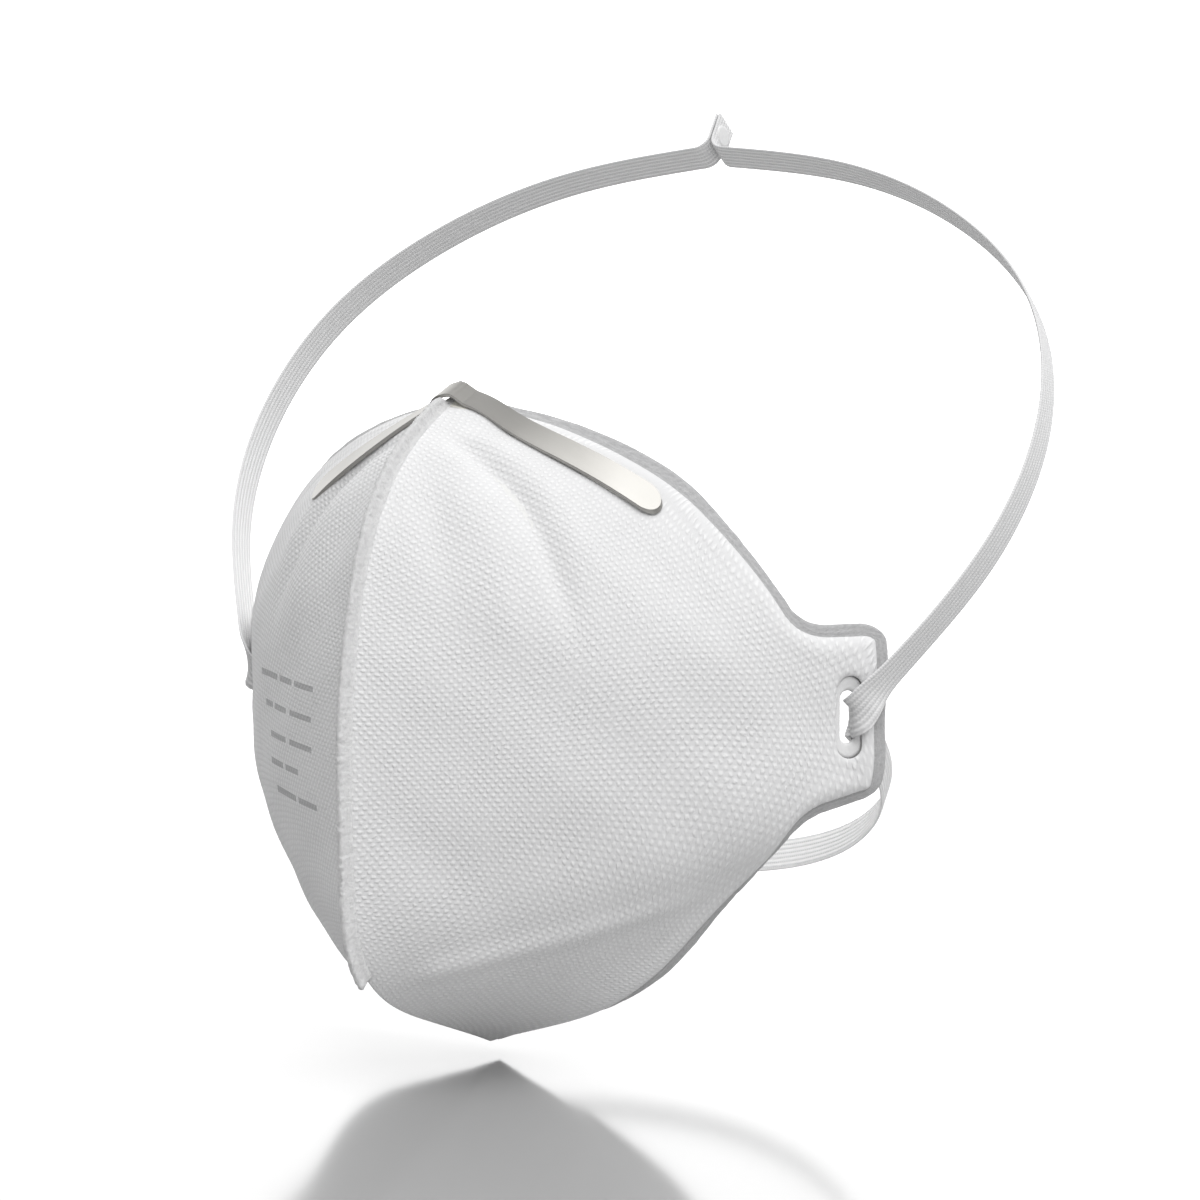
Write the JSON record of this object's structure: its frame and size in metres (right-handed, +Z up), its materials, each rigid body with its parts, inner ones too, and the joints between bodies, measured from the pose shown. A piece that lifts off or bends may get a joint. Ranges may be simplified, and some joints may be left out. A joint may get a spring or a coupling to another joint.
{
  "type": "disposable dust mask",
  "caption": "White vertical-fold disposable dust mask with embossed cover, front seam, aluminium nose clip, ear slots and a flat elastic band forming head and neck loops.",
  "frame": {"origin": "midpoint between the two ear slots, on the line about which the straps swing", "axes": "+X from the wearer's right ear slot to the left one, +Y towards the wearer's face, +Z up towards the nose clip and the crown"},
  "size_m": [0.2004, 0.1581, 0.2014],
  "materials": {
    "cover_fabric": "matte",
    "filter_fleece": "matte",
    "lining_fabric": "matte",
    "weld_fabric": "matte",
    "clip_metal": "satin",
    "glue": "matte",
    "foam": "matte",
    "elastic": "matte"
  },
  "bodies": {
    "mask": {"outer_cover": "cover_fabric", "coarse_filter_layer": "filter_fleece", "fine_filter_layer": "filter_fleece", "inner_lining": "lining_fabric", "rim_weld": "weld_fabric", "front_seam_weld": "weld_fabric", "slot_weld_left": "weld_fabric", "slot_weld_right": "weld_fabric", "nose_clip": "clip_metal", "nose_clip_adhesive": "glue", "nose_foam": "foam", "band_turn_left": "elastic", "band_turn_right": "elastic"},
    "upper_strap": {"head_band_left": "elastic", "head_band_right": "elastic", "strap_weld": "weld_fabric"},
    "lower_strap": {"neck_band": "elastic"}
  },
  "joints": [
    {"name": "upper_strap_swing", "type": "hinge", "parent": "mask", "child": "upper_strap", "pos_m": [0, 0, 0], "axis": [1, 0, 0], "range_deg": [-60, 115]},
    {"name": "lower_strap_swing", "type": "hinge", "parent": "mask", "child": "lower_strap", "pos_m": [0, 0, 0], "axis": [1, 0, 0], "range_deg": [0, 60]}
  ]
}
